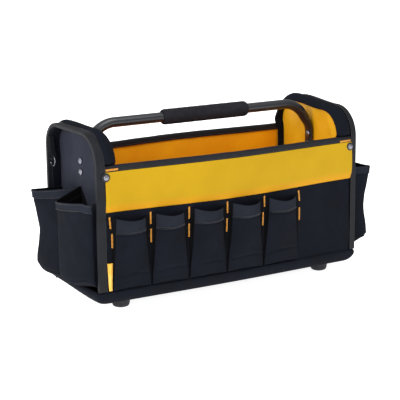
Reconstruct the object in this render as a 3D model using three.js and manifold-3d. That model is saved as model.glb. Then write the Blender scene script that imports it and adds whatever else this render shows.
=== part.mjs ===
// Open top tool tote: a soft cloth box on four rubber feet, with a domed hoop at each end,
// a tubular steel carrying handle, five pockets along the front and two on each end.
// Millimetres, +Z up. X runs along the front to the right, and the front faces -Y.
import * as THREE from "three";
import { mergeVertices } from "three/addons/utils/BufferGeometryUtils.js";
import Module from "manifold-3d";

// Body: the handle plane is y = 0 while the pieces are laid out
const length = 500; // over the end rims
const frontReach = 97; // handle plane to the front face at the corners
const rearReachLeft = 82; // the left end leans in at the back
const rearReachRight = 94;
const frontBow = 12; // how far the top edges swell out at mid length
const rearBow = 16;
const bowAtBase = 0.35; // share of the swell that the bottom edges have
const wallTop = 235;

// Cloth layers, counted inwards from the rim face
const gap = 0.3;
const skinDepth = 0.4; // rim face to the outermost layer
const tapeThickness = 1.3;
const tapeRound = 1; // rounding of a tape's fold
const wallThickness = 3;
const liningThickness = 1.2;
const hoopThickness = 2.6;
const domeStand = 4; // above the walls a hoop's padded ridge stands out of the rim face
const domeDepth = 7.6; // and its inner face lies behind it

// Base
const footHeight = 14;
const footRadius = 15;
const footFromEnd = 54; // rim face to a foot's axis
const footFromSide = 32; // front and rear face to a foot's axis
const baseHeight = 22; // feet to the seam of the walls
const baseThickness = 4;
const baseCorner = 9; // plan radius of the base's corners
const baseRearCorner = 30; // and of its rear corners at the underside
const baseRound = 12; // inset of the underside
const floorThickness = 2.5;

// Bindings, band and hoops
const tapeWidth = 11; // top binding and end rims
const hoopWidth = 37; // over the rim
const shoulderTop = 285; // dome height at its front shoulder
const shoulderRadius = 50;
const crownTopLeft = 286; // and at its rear shoulder
const crownTopRight = 291.5;
const crownRadiusLeft = 38;
const crownRadiusRight = 48;
const bandBottom = 163;
const bandEndLeft = 14.5; // rim to the band's left end
const bandEndRight = 11.6;
const bandSag = 2.5; // the free lower edge hangs lower at mid length

// End walls, set back inside the rims
const endSetback = 20.5;
const boardThickness = 3;

// Front pockets
const pocketCount = 5;
const pocketPitch = 71.3;
const pocketStart = -227; // first row of bar tacks
const pocketTop = 152;
const pocketSag = 7;
const pocketDepth = 7; // of the gussets, at the mouth
const pocketPleat = 7.5; // seam to the front panel's edge, at the mouth
const pocketCloth = 2;
const pocketSeam = 0.8; // half the space between two pockets

// End pockets
const endPocketOutLeft = 46; // board to the outer panel
const endPocketOutRight = 56;
const endPocketMouth = 173; // height of the outer panel
const endPocketRise = 12; // how much higher the mouth is at the board
const endPocketDroop = 7; // how much lower its free outer corner is
const endPocketFlare = 7;
const endPocketCloth = 2;
const endPocketTurn = 5; // rounding of the outer panel's edges
const endPocketSwell = 4; // how far the outer panel bellies out

// Handle and grip
const tubeRadius = 8.4;
const handleTop = 294.5;
const bendRadius = 50;
const legBottom = 200;
const flatHalf = 4; // half thickness of the flattened leg ends
const flatSpread = 10.4; // half width there
const gripLength = 165;
const gripRadius = 13;
const gripShift = 5;
const gripRound = 4;

// Rivets
const handleRivetHeights = [230, 212];
const handleRivetShank = 2.5;
const handleRivetHead = 5.5;
const cornerRivetLeft = 15.7; // rim to the rivet's axis
const cornerRivetRight = 14.5;
const cornerRivetHead = 4.2;
const cornerRivetShank = 2;
const rivetDome = 0.45; // height of a head as a share of its radius
const washerRadius = 6.5;
const washerThickness = 1;

// Label tab at the front left corner
const tabTop = 83;
const tabBottom = 38;
const tabTopWidth = 9.5;
const tabBottomWidth = 4;
const tabThickness = 2.4;
const tabInset = 12.5; // rim to the tab's outer edge

// Webbing loop with a ring, in the left end's rear corner
const loopLength = 19; // from the start of the dome's rear curve to the eye
const loopWidth = 9;
const loopThickness = 2.4;
const ringRadius = 8.5;
const ringWire = 1.25;

// Section tables: shares of the pocket's height, depth and pleat
const frontPocketRows = [
  { up: 0, depth: 0.34, pleat: 0.06 },
  { up: 0.12, depth: 0.52, pleat: 0.2 },
  { up: 0.24, depth: 0.64, pleat: 0.36 },
  { up: 0.5, depth: 0.84, pleat: 0.7 },
  { up: 0.76, depth: 0.96, pleat: 0.92 },
  { up: 1, depth: 1, pleat: 1 },
];
// Across a front pocket: share of its panel, and of the swell of the panel
const panelColumns = [
  { across: 0, swell: 0 },
  { across: 0.22, swell: 0.7 },
  { across: 0.5, swell: 1 },
  { across: 0.78, swell: 0.7 },
  { across: 1, swell: 0 },
];
const panelSwell = 8; // how much further the middle of a panel stands out
// Up an end pocket: shares of its height, of its reach from the board and of its flare past the rim
const endPocketRows = [
  { up: 0, out: 0.45, flare: 0 },
  { up: 0.11, out: 0.95, flare: 0.6 },
  { up: 0.22, out: 0.97, flare: 0.6 },
  { up: 0.5, out: 0.84, flare: 0.3 },
  { up: 0.78, out: 0.94, flare: 0.7 },
  { up: 1, out: 1, flare: 1 },
];
// The four end pockets: shares of the reach at the tote's corner and at the divider of the end, how much
// of the reach the divider's edge gives up towards the mouth, and how far its mouth droops there
const endPockets = [
  { name: "left_front", side: -1, corner: 0.7, divider: 1.1, valley: 0, droop: 1 },
  { name: "left_rear", side: -1, corner: 1.12, divider: 1, valley: 0.8, droop: 0 },
  { name: "right_front", side: 1, corner: 1.03, divider: 1, valley: 0.8, droop: 0 },
  { name: "right_rear", side: 1, corner: 0.9, divider: 0.97, valley: 0, droop: 1 },
];
// Across a rim and a hoop from the tote's middle out: share of its width, and of its thickness
const rimSection = [
  [0, 1],
  [0, 0.3],
  [0.2, 0],
  [0.8, 0],
  [1, 0.3],
  [1, 1],
];
const hoopSection = [
  [0, 1],
  [0, 0.7],
  [0.35, 0.25],
  [0.65, 0],
  [1, 0.35],
  [1, 1],
];
// Up the base: shares of its height and of the inset of its underside
const baseRows = [
  { up: 0, inset: 1 },
  { up: 0.12, inset: 0.45 },
  { up: 0.34, inset: 0.15 },
  { up: 0.64, inset: 0.04 },
  { up: 1, inset: 0 },
];

// Worked out from the sizes above
const half = length / 2;
const baseBottom = footHeight + gap;
const baseTop = baseBottom + baseHeight;
const wallBottom = baseTop + gap;
const layers = stackLayers();
const rimInner = half - tapeWidth;
const clothEnd = rimInner - gap;
const hoopInner = half - hoopWidth;
const boardOuter = half - endSetback;
const boardInner = boardOuter - boardThickness;
const liningOuter = boardInner - gap;
const liningInner = liningOuter - liningThickness;
const innerFloor = baseBottom + baseThickness + gap;
const endBottom = innerFloor + floorThickness + gap;
const handleFace = liningInner - gap;
const bindingCrest = wallTop + gap + tapeRound / 2 + tapeThickness;
const bindingHem = bindingCrest - tapeWidth;
const cornerRivetHeight = bindingHem - gap - washerRadius;

const wasm = await Module();
wasm.setup();

// Depth of each layer's outer and inner face behind the rim face
function stackLayers() {
  const tape = [skinDepth, skinDepth + tapeThickness];
  const wall = [tape[1] + gap, tape[1] + gap + wallThickness];
  const lining = [wall[1] + gap, wall[1] + gap + liningThickness];
  const flange = [lining[1] + gap, lining[1] + gap + tapeThickness];
  const hoop = [flange[1] + gap, flange[1] + gap + hoopThickness];
  return { tape, wall, lining, flange, hoop, clear: hoop[1] + gap };
}

// The swell of the long walls: none at the corners, most at mid length and at the top
function swellAt(x, z) {
  const across = Math.cos((Math.PI * Math.min(Math.abs(x), half)) / length) ** 2;
  const up = THREE.MathUtils.clamp((z - baseBottom) / (wallTop - baseBottom), 0, 1);
  return across * THREE.MathUtils.lerp(bowAtBase, 1, up);
}

function rearReach(x) {
  return THREE.MathUtils.mapLinear(x, -half, half, rearReachLeft, rearReachRight);
}

// The rim face carried along each long side, and points a depth behind it
function frontFace(x, z, depth) {
  return -frontReach - frontBow * swellAt(x, z) + depth;
}

function rearFace(x, z, depth) {
  return rearReach(x) + rearBow * swellAt(x, z) - depth;
}

// Solids

// The triangles that close a ring: rungs between its first half and its second half
function capOf(count) {
  const faces = [];
  for (let i = 0, j = count - 1; i + 1 < j; i += 1, j -= 1) {
    faces.push([i, i + 1, j]);
    if (i + 1 < j - 1) faces.push([i + 1, j - 1, j]);
  }
  return faces;
}

// A closed skin over rings with equal numbers of points
function loft(rings) {
  const count = rings[0].length;
  const faces = [];
  for (let r = 0; r + 1 < rings.length; r += 1) {
    for (let i = 0; i < count; i += 1) {
      const j = (i + 1) % count;
      const [a, b, c, d] = [r * count + i, r * count + j, (r + 1) * count + j, (r + 1) * count + i];
      faces.push([a, b, c], [a, c, d]);
    }
  }
  const last = (rings.length - 1) * count;
  for (const [a, b, c] of capOf(count)) {
    faces.push([a, c, b], [last + a, last + b, last + c]);
  }
  const points = rings.flat();
  const volume = faces.reduce((sum, [a, b, c]) => {
    return sum + points[a].dot(new THREE.Vector3().crossVectors(points[b], points[c]));
  }, 0);
  const outward = volume > 0 ? faces : faces.map(([a, b, c]) => [a, c, b]);
  const geometry = new THREE.BufferGeometry().setFromPoints(points);
  geometry.setIndex(outward.flat());
  return geometry;
}

function solidOf(geometry) {
  const bare = geometry.clone();
  bare.deleteAttribute("normal");
  bare.deleteAttribute("uv");
  const merged = mergeVertices(bare, 1e-3);
  return new wasm.Manifold(
    new wasm.Mesh({
      numProp: 3,
      vertProperties: merged.attributes.position.array,
      triVerts: new Uint32Array(merged.index.array),
    }),
  );
}

function cut(body, tools) {
  const left = tools.reduce((rest, tool) => rest.subtract(solidOf(tool)), solidOf(body));
  const mesh = left.getMesh();
  const geometry = new THREE.BufferGeometry();
  geometry.setAttribute("position", new THREE.BufferAttribute(mesh.vertProperties, 3));
  geometry.setIndex(new THREE.BufferAttribute(mesh.triVerts, 1));
  return geometry;
}

// A cylinder along X or Y that cuts a hole
function drill(radius, from, to, axis, place) {
  const tool = new THREE.CylinderGeometry(radius, radius, Math.abs(to - from), 12);
  if (axis === "x") tool.rotateZ(Math.PI / 2);
  const middle = new THREE.Vector3(...place);
  middle[axis] = (from + to) / 2;
  return tool.translate(middle.x, middle.y, middle.z);
}

// A wall of cloth: at each station along X, up one face and down the other
function clothWall({ from, to, stations, levels, bottom, top, outer, inner }) {
  const rings = [];
  for (let s = 0; s <= stations; s += 1) {
    const x = THREE.MathUtils.lerp(from, to, s / stations);
    const heights = [];
    for (let k = 0; k <= levels; k += 1) {
      heights.push(THREE.MathUtils.lerp(bottom(x), top(x), k / levels));
    }
    const up = heights.map((z) => new THREE.Vector3(x, outer(x, z), z));
    const down = heights.map((z) => new THREE.Vector3(x, inner(x, z), z)).reverse();
    rings.push([...up, ...down]);
  }
  return loft(rings);
}

// Materials

function cloth(color) {
  return new THREE.MeshStandardMaterial({ color, roughness: 0.9, metalness: 0 });
}

function metal(color, roughness) {
  return new THREE.MeshStandardMaterial({ color, roughness, metalness: 0.9 });
}

function rubber(color) {
  return new THREE.MeshStandardMaterial({ color, roughness: 0.75, metalness: 0 });
}

const black = 0x34353c;
const yellow = 0xddb32a;
const orange = 0xd98e10;

const tote = new THREE.Group();

function add(name, geometry, material, place = [0, 0, 0], turn = [0, 0, 0]) {
  const mesh = new THREE.Mesh(geometry, material);
  mesh.name = name;
  mesh.position.set(...place);
  mesh.rotation.set(...turn);
  tote.add(mesh);
}

// Base tray, floor and feet

// The tote's outline in plan at one height, moved inwards by an inset, with a radius for its rear corners
function planRing(z, inset, rear) {
  const steps = 8;
  const sideOf = (face, from, to) => {
    const points = [];
    for (let i = 0; i <= steps; i += 1) {
      const x = THREE.MathUtils.lerp(from, to, i / steps);
      points.push(new THREE.Vector3(x, face(x, z, inset), z));
    }
    return points;
  };
  const corner = (side, face, radius, start, parts) => {
    const x = side * (half - inset - radius);
    const centre = new THREE.Vector2(x, face(x, z, inset + radius));
    return parts.map((k) => {
      const point = turned(centre, radius, start + (k / 3) * (Math.PI / 2));
      return new THREE.Vector3(point.x, point.y, z);
    });
  };
  const front = half - inset - baseCorner;
  const back = half - inset - rear;
  return [
    ...sideOf(frontFace, -front, front),
    ...corner(1, frontFace, baseCorner, -Math.PI / 2, [1, 2, 3]),
    ...corner(1, rearFace, rear, 0, [0, 1, 2]),
    ...sideOf(rearFace, back, -back),
    ...corner(-1, rearFace, rear, Math.PI / 2, [1, 2, 3]),
    ...corner(-1, frontFace, baseCorner, Math.PI, [0, 1, 2]),
  ];
}

function makeBase() {
  const rings = baseRows.map(({ up, inset }) => {
    const rear = THREE.MathUtils.lerp(baseCorner, baseRearCorner, inset);
    return planRing(baseBottom + up * baseHeight, inset * baseRound, rear);
  });
  const wall = layers.wall[1];
  const round = layers.hoop[0] - gap - wall;
  const hollow = baseRows.map(({ up, inset }) => {
    const z = THREE.MathUtils.lerp(baseBottom + baseThickness, baseTop + 1, up);
    return planRing(z, wall + inset * round, baseCorner);
  });
  add("base_tray", cut(loft(rings), [loft(hollow)]), cloth(black));
}

// The lined floor panel lies in the tray, under the ends
function makeFloor() {
  add(
    "floor_lining",
    clothWall({
      from: -liningInner,
      to: liningInner,
      stations: 8,
      levels: 1,
      bottom: () => innerFloor,
      top: () => innerFloor + floorThickness,
      outer: (x, z) => frontFace(x, z, layers.clear),
      inner: (x, z) => rearFace(x, z, layers.clear),
    }),
    cloth(orange),
  );
}

function makeFeet() {
  const profile = [
    [0, 0],
    [0.62, 0],
    [0.82, 0.12],
    [0.95, 0.4],
    [1, 0.8],
    [1, 1],
    [0, 1],
  ].map(([r, z]) => new THREE.Vector2(r * footRadius, z * footHeight));
  for (const [side, sx] of [
    ["left", -1],
    ["right", 1],
  ]) {
    const x = sx * (half - footFromEnd);
    const front = frontFace(sx * half, baseBottom, footFromSide);
    const rear = rearFace(sx * half, baseBottom, footFromSide);
    for (const [end, y] of [
      ["front", front],
      ["rear", rear],
    ]) {
      const foot = new THREE.LatheGeometry(profile, 14);
      add(`foot_${side}_${end}`, foot, rubber(0x1d1d20), [x, y, 0], [Math.PI / 2, 0, 0]);
    }
  }
}

// Long walls

function makeLongWalls() {
  const sides = [
    ["front", frontFace],
    ["back", rearFace],
  ];
  for (const [name, face] of sides) {
    const span = { from: -clothEnd, to: clothEnd, stations: 14 };
    add(
      `${name}_wall`,
      clothWall({
        ...span,
        levels: 4,
        bottom: () => wallBottom,
        top: () => wallTop,
        outer: (x, z) => face(x, z, layers.wall[0]),
        inner: (x, z) => face(x, z, layers.wall[1]),
      }),
      cloth(black),
    );
    add(
      `${name}_lining`,
      clothWall({
        ...span,
        levels: 4,
        bottom: () => wallBottom,
        top: () => wallTop,
        outer: (x, z) => face(x, z, layers.lining[0]),
        inner: (x, z) => face(x, z, layers.lining[1]),
      }),
      cloth(orange),
    );
    add(`${name}_top_binding`, topBinding(face), cloth(black));
  }
}

// A tape folded over the top of a wall and its lining
function topBinding(face) {
  const stations = 14;
  const under = wallTop + gap + tapeRound / 2;
  const crest = bindingCrest;
  const hem = bindingHem;
  const rings = [];
  for (let s = 0; s <= stations; s += 1) {
    const x = THREE.MathUtils.lerp(-clothEnd, clothEnd, s / stations);
    const section = [
      [layers.tape[0], hem],
      [layers.tape[0], crest - tapeRound],
      [layers.tape[0] + tapeRound, crest],
      [layers.flange[1] - tapeRound, crest],
      [layers.flange[1], crest - tapeRound],
      [layers.flange[1], hem],
      [layers.flange[0], hem],
      [layers.flange[0], under - tapeRound / 2],
      [layers.flange[0] - tapeRound / 2, under],
      [layers.tape[1] + tapeRound / 2, under],
      [layers.tape[1], under - tapeRound / 2],
      [layers.tape[1], hem],
    ];
    rings.push(section.map(([depth, z]) => new THREE.Vector3(x, face(x, Math.min(z, wallTop), depth), z)));
  }
  return loft(rings);
}

function makeBand() {
  const top = bindingHem - gap;
  const band = clothWall({
    from: -half + bandEndLeft,
    to: half - bandEndRight,
    stations: 16,
    levels: 2,
    bottom: (x) => bandBottom + bandSag * (1 - swellAt(x, wallTop)) - bandSag / 2,
    top: () => top,
    outer: (x, z) => frontFace(x, z, layers.tape[0]),
    inner: (x, z) => frontFace(x, z, layers.tape[1]),
  });
  add("front_band", band, cloth(yellow));
}

// End hoops, rims, boards and linings

function crownOf(side) {
  return side < 0
    ? { top: crownTopLeft, radius: crownRadiusLeft }
    : { top: crownTopRight, radius: crownRadiusRight };
}

// A path in Y and Z up the front of an end, over its dome and down the back
function domePath(side, inset, bottom) {
  const front = frontFace(side * half, 0, inset);
  const rear = rearFace(side * half, 0, inset);
  const shoulder = shoulderTop - shoulderRadius;
  const frontArc = new THREE.Vector2(frontFace(side * half, 0, shoulderRadius), shoulder);
  const crown = crownOf(side);
  const rearArc = new THREE.Vector2(rearFace(side * half, 0, crown.radius), crown.top - crown.radius);
  const path = [new THREE.Vector2(front, bottom)];
  for (let k = 0; k <= 6; k += 1) {
    const angle = Math.PI - (k / 6) * (Math.PI / 2);
    path.push(turned(frontArc, shoulderRadius - inset, angle));
  }
  for (let k = 0; k <= 6; k += 1) {
    const angle = Math.PI / 2 - (k / 6) * (Math.PI / 2);
    path.push(turned(rearArc, crown.radius - inset, angle));
  }
  path.push(new THREE.Vector2(rear, bottom));
  return path;
}

function turned(centre, radius, angle) {
  return new THREE.Vector2(centre.x + radius * Math.cos(angle), centre.y + radius * Math.sin(angle));
}

// A strip round an end: at each point of the dome, a section with its places across the strip in X
// and its shares of the way from the outer path to the inner one
function strip(outerPath, innerPath, from, to, section) {
  const rings = outerPath.map((outer, i) => {
    return section.map(([across, share]) => {
      const point = outer.clone().lerp(innerPath[i], share);
      return new THREE.Vector3(THREE.MathUtils.lerp(from, to, across), point.x, point.y);
    });
  });
  return loft(rings);
}

// A path round an end with one depth where the long walls cover it and another above them
function hoopPath(side, wallDepth, depth) {
  const low = domePath(side, wallDepth, endBottom);
  const high = domePath(side, depth, endBottom);
  const clear = bindingCrest + gap;
  const path = low.map((point, i) => (point.y > clear + domeDepth ? high[i] : point));
  const last = path.length - 1;
  path.splice(1, 1, new THREE.Vector2(path[0].x, clear));
  path.splice(last, 0, new THREE.Vector2(path[last].x, clear));
  return path;
}

function makeEnds() {
  for (const [name, side] of [
    ["left", -1],
    ["right", 1],
  ]) {
    const rim = strip(
      domePath(side, 0, wallBottom),
      domePath(side, layers.flange[1], wallBottom),
      side * rimInner,
      side * half,
      rimSection,
    );
    add(`rim_binding_${name}`, rim, cloth(black));
    const hoop = strip(
      hoopPath(side, layers.hoop[0], -domeStand),
      hoopPath(side, layers.hoop[1], domeDepth),
      side * hoopInner,
      side * clothEnd,
      hoopSection,
    );
    add(`hoop_${name}`, hoop, cloth(black));
    add(`end_board_${name}`, endPanel(side, boardInner, boardOuter), cloth(black));
    add(`end_lining_${name}`, endPanel(side, liningInner, liningOuter), cloth(orange));
  }
}

// A flat panel with the dome's outline, with holes for the handle rivets
function endPanel(side, from, to) {
  const outline = hoopPath(side, layers.clear, domeDepth + gap);
  const at = (x) => outline.map(({ x: y, y: z }) => new THREE.Vector3(side * x, y, z));
  const holes = handleRivetHeights.map((z) => {
    return drill(handleRivetShank + gap, side * (from - 2), side * (to + 2), "x", [0, 0, z]);
  });
  return cut(loft([at(from), at(to)]), holes);
}

// Front pockets

function frontPocketRing(left, right, up, depth, pleat, inset) {
  const bottom = wallBottom + gap;
  const edge = [left + inset * 1.2, right - inset * 1.2];
  const fold = pleat * pocketPleat;
  const panel = [edge[0] + fold, edge[1] - fold];
  const out = depth * pocketDepth - inset;
  const front = panelColumns.map(({ across, swell }) => {
    return [THREE.MathUtils.lerp(panel[0], panel[1], across), out + swell * panelSwell * depth];
  });
  const back = inset ? -1 : 0;
  const plan = [[edge[0], back], ...front, [edge[1], back]];
  return plan.map(([x, away]) => {
    const share = (x - left) / (right - left);
    const sag = pocketSag * Math.sin(Math.PI * THREE.MathUtils.clamp(share, 0, 1));
    const z = bottom + up * (pocketTop - sag - bottom);
    return new THREE.Vector3(x, frontFace(x, z, layers.wall[0] - gap) - away, z);
  });
}

function makeFrontPockets() {
  const floor = pocketCloth / (pocketTop - wallBottom);
  for (let n = 0; n < pocketCount; n += 1) {
    const left = pocketStart + n * pocketPitch + pocketSeam;
    const right = left + pocketPitch - 2 * pocketSeam;
    const outer = frontPocketRows.map(({ up, depth, pleat }) => {
      return frontPocketRing(left, right, up, depth, pleat, 0);
    });
    const inner = frontPocketRows.map(({ up, depth, pleat }, i, rows) => {
      const lifted = i === 0 ? floor : i === rows.length - 1 ? up + floor : up;
      return frontPocketRing(left, right, lifted, depth, pleat, pocketCloth);
    });
    add(`front_pocket_${n + 1}`, cut(loft(outer), [loft(inner)]), cloth(black));
  }
}

// End pockets

// A pocket's plan section: from the board out past the rim, round the panel and back to the board
function endPocketRing(pocket, row, height, inset) {
  const { name, side } = pocket;
  const toward = name.endsWith("front") ? -1 : 1;
  const face = toward < 0 ? frontFace : rearFace;
  const reach = side < 0 ? endPocketOutLeft : endPocketOutRight;
  const board = boardOuter + gap;
  const edge = face(side * half, 0, layers.clear + inset);
  const flared = edge + toward * endPocketFlare * row.flare;
  const middle = toward * (pocketSeam / 2 + inset);
  const turnIn = 1 - pocket.valley * row.up ** 2;
  const corner = board + row.out * pocket.corner * reach - inset;
  const divider = board + row.out * pocket.divider * turnIn * reach - inset;
  const back = inset ? board - 1 : board;
  const turn = endPocketTurn;
  const plan = [
    [back, edge],
    [Math.min(half + gap - inset, corner - turn - 1), edge],
    [corner - turn, flared],
    [corner, flared - toward * turn],
    [(corner + divider) / 2 + endPocketSwell, (flared + middle) / 2],
    [divider, middle + toward * turn],
    [divider - turn, middle],
    [back, middle],
  ];
  return plan.map(([x, y]) => {
    const out = (x - board) / reach;
    const free = Math.max(0, 1 - Math.abs(y) / frontReach) * Math.max(0, out);
    const slope = endPocketRise * (1 - out) - endPocketDroop * pocket.droop * free;
    return new THREE.Vector3(side * x, y, height + row.up * slope);
  });
}

function makeEndPockets() {
  const bottom = wallBottom + gap;
  const rise = (up) => THREE.MathUtils.lerp(bottom, endPocketMouth, up);
  for (const pocket of endPockets) {
    const outer = endPocketRows.map((row) => endPocketRing(pocket, row, rise(row.up), 0));
    const inner = endPocketRows.map((row, i, rows) => {
      const lift = i === 0 || i === rows.length - 1 ? endPocketCloth : 0;
      return endPocketRing(pocket, row, rise(row.up) + lift, endPocketCloth);
    });
    add(`end_pocket_${pocket.name}`, cut(loft(outer), [loft(inner)]), cloth(black));
  }
}

// Handle, grip and rivets

// Stations along the tube from one leg's end to the other, with its half thickness and half width
function handleStations() {
  const legX = handleFace - tubeRadius;
  const axisTop = handleTop - tubeRadius;
  const bendStart = axisTop - bendRadius;
  const stations = [];
  const flat = { thick: flatHalf, wide: flatSpread };
  const round = { thick: tubeRadius, wide: tubeRadius };
  stations.push({ x: legX, z: legBottom, out: 0, ...flat });
  stations.push({ x: legX, z: bendStart, out: 0, ...flat });
  for (let k = 1; k <= 8; k += 1) {
    const angle = (k / 8) * (Math.PI / 2);
    stations.push({
      x: legX - bendRadius * (1 - Math.cos(angle)),
      z: bendStart + bendRadius * Math.sin(angle),
      out: angle,
      ...(k < 3 ? { thick: (flatHalf + tubeRadius) / 2, wide: (flatSpread + tubeRadius) / 2 } : round),
    });
  }
  return stations;
}

function handleRing({ x, z, out, thick, wide }, side) {
  const sides = 12;
  const normal = new THREE.Vector3(side * Math.cos(out), 0, Math.sin(out));
  const centre = new THREE.Vector3(side * x, 0, z).addScaledVector(normal, tubeRadius - thick);
  const ring = [];
  for (let k = 0; k < sides; k += 1) {
    const angle = (k / sides) * 2 * Math.PI;
    const point = centre.clone().addScaledVector(normal, thick * Math.cos(angle));
    point.y += wide * Math.sin(angle);
    ring.push(point);
  }
  return ring;
}

function makeHandle() {
  const stations = handleStations();
  const right = stations.map((station) => handleRing(station, 1));
  const left = stations.map((station) => handleRing(station, -1)).reverse();
  const holes = [-1, 1].flatMap((side) => {
    return handleRivetHeights.map((z) => {
      const reach = [side * (handleFace - 4 * tubeRadius), side * (handleFace + 2)];
      return drill(handleRivetShank + gap, ...reach, "x", [0, 0, z]);
    });
  });
  add("handle_tube", cut(loft([...right, ...left]), holes), metal(0x3a3f48, 0.35));
  const bore = tubeRadius + gap;
  const profile = [
    [bore, -gripLength / 2],
    [gripRadius - gripRound, -gripLength / 2],
    [gripRadius, -gripLength / 2 + gripRound],
    [gripRadius, gripLength / 2 - gripRound],
    [gripRadius - gripRound, gripLength / 2],
    [bore, gripLength / 2],
    [bore, -gripLength / 2],
  ].map(([r, along]) => new THREE.Vector2(r, along));
  const grip = new THREE.LatheGeometry(profile, 18);
  const axis = handleTop - tubeRadius;
  add("foam_grip", grip, rubber(0x26262c), [gripShift, 0, axis], [0, 0, Math.PI / 2]);
}

// A rivet along its own axis: a domed head, the shank and a domed head at the far side
function rivet(shank, head, grip) {
  const rise = head * rivetDome;
  const profile = [
    [0, -rise],
    [head * 0.6, -rise * 0.8],
    [head, -rise * 0.2],
    [head, 0],
    [shank, 0],
    [shank, grip],
    [head, grip],
    [head, grip + rise * 0.2],
    [head * 0.6, grip + rise * 0.8],
    [0, grip + rise],
  ].map(([r, along]) => new THREE.Vector2(r, along));
  return new THREE.LatheGeometry(profile, 12);
}

function makeHandleRivets() {
  const inside = handleFace - 2 * flatHalf - gap;
  const outside = boardOuter + gap;
  const names = ["upper", "lower"];
  for (const [name, side] of [
    ["left", -1],
    ["right", 1],
  ]) {
    handleRivetHeights.forEach((z, k) => {
      const body = rivet(handleRivetShank, handleRivetHead, outside - inside);
      const turn = [0, 0, side > 0 ? -Math.PI / 2 : Math.PI / 2];
      add(`handle_rivet_${name}_${names[k]}`, body, metal(0xb9b9c4, 0.3), [side * inside, 0, z], turn);
    });
  }
}

// Corner rivets through the band's ends and the hoops, each with a dark washer
function makeCornerRivets() {
  const seat = -frontReach - gap;
  const outside = seat - washerThickness - gap;
  const inside = -frontReach + layers.clear;
  for (const [name, x] of [
    ["left", -half + cornerRivetLeft],
    ["right", half - cornerRivetRight],
  ]) {
    const ring = [
      [cornerRivetShank + gap, 0],
      [washerRadius, 0],
      [washerRadius, washerThickness],
      [cornerRivetShank + gap, washerThickness],
      [cornerRivetShank + gap, 0],
    ].map(([r, along]) => new THREE.Vector2(r, along));
    const washer = new THREE.LatheGeometry(ring, 16);
    const turn = [Math.PI, 0, 0];
    add(`corner_washer_${name}`, washer, rubber(0x1c1c20), [x, seat, cornerRivetHeight], turn);
    const body = rivet(cornerRivetShank, cornerRivetHead, inside - outside);
    add(`corner_rivet_${name}`, body, metal(0xb9b9c4, 0.3), [x, outside, cornerRivetHeight]);
    for (const layer of ["front_wall", "front_lining", "front_band", `hoop_${name}`]) {
      const mesh = tote.getObjectByName(layer);
      const hole = drill(cornerRivetShank + gap, outside, inside + 1, "y", [x, 0, cornerRivetHeight]);
      mesh.geometry = cut(mesh.geometry, [hole]);
    }
  }
}

// Tab and webbing loop

function makeTab() {
  const outer = -half + tabInset;
  const rows = [
    { z: tabBottom, width: tabBottomWidth, in: (tabTopWidth - tabBottomWidth) / 2 },
    { z: tabTop, width: tabTopWidth, in: 0 },
  ];
  const rings = rows.map(({ z, width, in: inset }) => {
    const [a, b] = [outer + inset, outer + inset + width];
    const back = (x) => frontFace(x, z, layers.wall[0] - gap);
    return [
      new THREE.Vector3(a, back(a), z),
      new THREE.Vector3(b, back(b), z),
      new THREE.Vector3(b, back(b) - tabThickness, z),
      new THREE.Vector3(a, back(a) - tabThickness, z),
    ];
  });
  add("label_tab", loft(rings), cloth(0xf0b840));
}

function makeLoop() {
  const seat = rearFace(-half, 0, layers.flange[1] + gap);
  const loopTop = crownTopLeft - crownRadiusLeft - gap;
  const eye = loopTop - loopLength;
  const hole = 2 * ringWire;
  const ringHole = hole + loopThickness;
  const shape = new THREE.Shape();
  shape.moveTo(0, loopTop);
  shape.lineTo(-loopThickness, loopTop);
  shape.lineTo(-loopThickness, eye + ringHole);
  shape.absarc(-ringHole, eye, ringHole, Math.PI / 3, 2 * Math.PI, false);
  shape.lineTo(0, loopTop);
  const hollow = new THREE.Path().absarc(-ringHole, eye, hole, 0, 2 * Math.PI, true);
  shape.holes.push(hollow);
  const webbing = { depth: loopWidth, bevelEnabled: false, curveSegments: 10 };
  const solid = new THREE.ExtrudeGeometry(shape, webbing);
  const middle = -half + tapeWidth / 2 + gap;
  const turn = new THREE.Matrix4().makeBasis(
    new THREE.Vector3(0, 1, 0),
    new THREE.Vector3(0, 0, 1),
    new THREE.Vector3(1, 0, 0),
  );
  solid.applyMatrix4(turn);
  add("clip_loop", solid, cloth(black), [middle - loopWidth / 2, seat, 0]);
  const ring = new THREE.TorusGeometry(ringRadius, ringWire, 6, 20);
  const drop = ringRadius - ringWire / 2;
  add("clip_ring", ring, metal(0xc4c6cc, 0.25), [middle, seat - ringHole, eye - drop], [Math.PI / 2, 0, 0]);
}

makeBase();
makeFloor();
makeFeet();
makeLongWalls();
makeBand();
makeEnds();
makeFrontPockets();
makeEndPockets();
makeHandle();
makeHandleRivets();
makeCornerRivets();
makeTab();
makeLoop();

// The part's origin is under the middle of its box
const box = new THREE.Box3().setFromObject(tote);
tote.position.set(-(box.min.x + box.max.x) / 2, -(box.min.y + box.max.y) / 2, -box.min.z);

export default tote;
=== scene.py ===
"""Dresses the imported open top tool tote: canvas walls, pockets, padded hoops, handle and fittings.

Every piece is laid out in millimetres about the tote's own middle, x to the right, y to the back and z up,
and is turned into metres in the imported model's frame when it is finished.
"""
import math

import bmesh
import bpy
from mathutils import Matrix, Vector, noise


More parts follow.
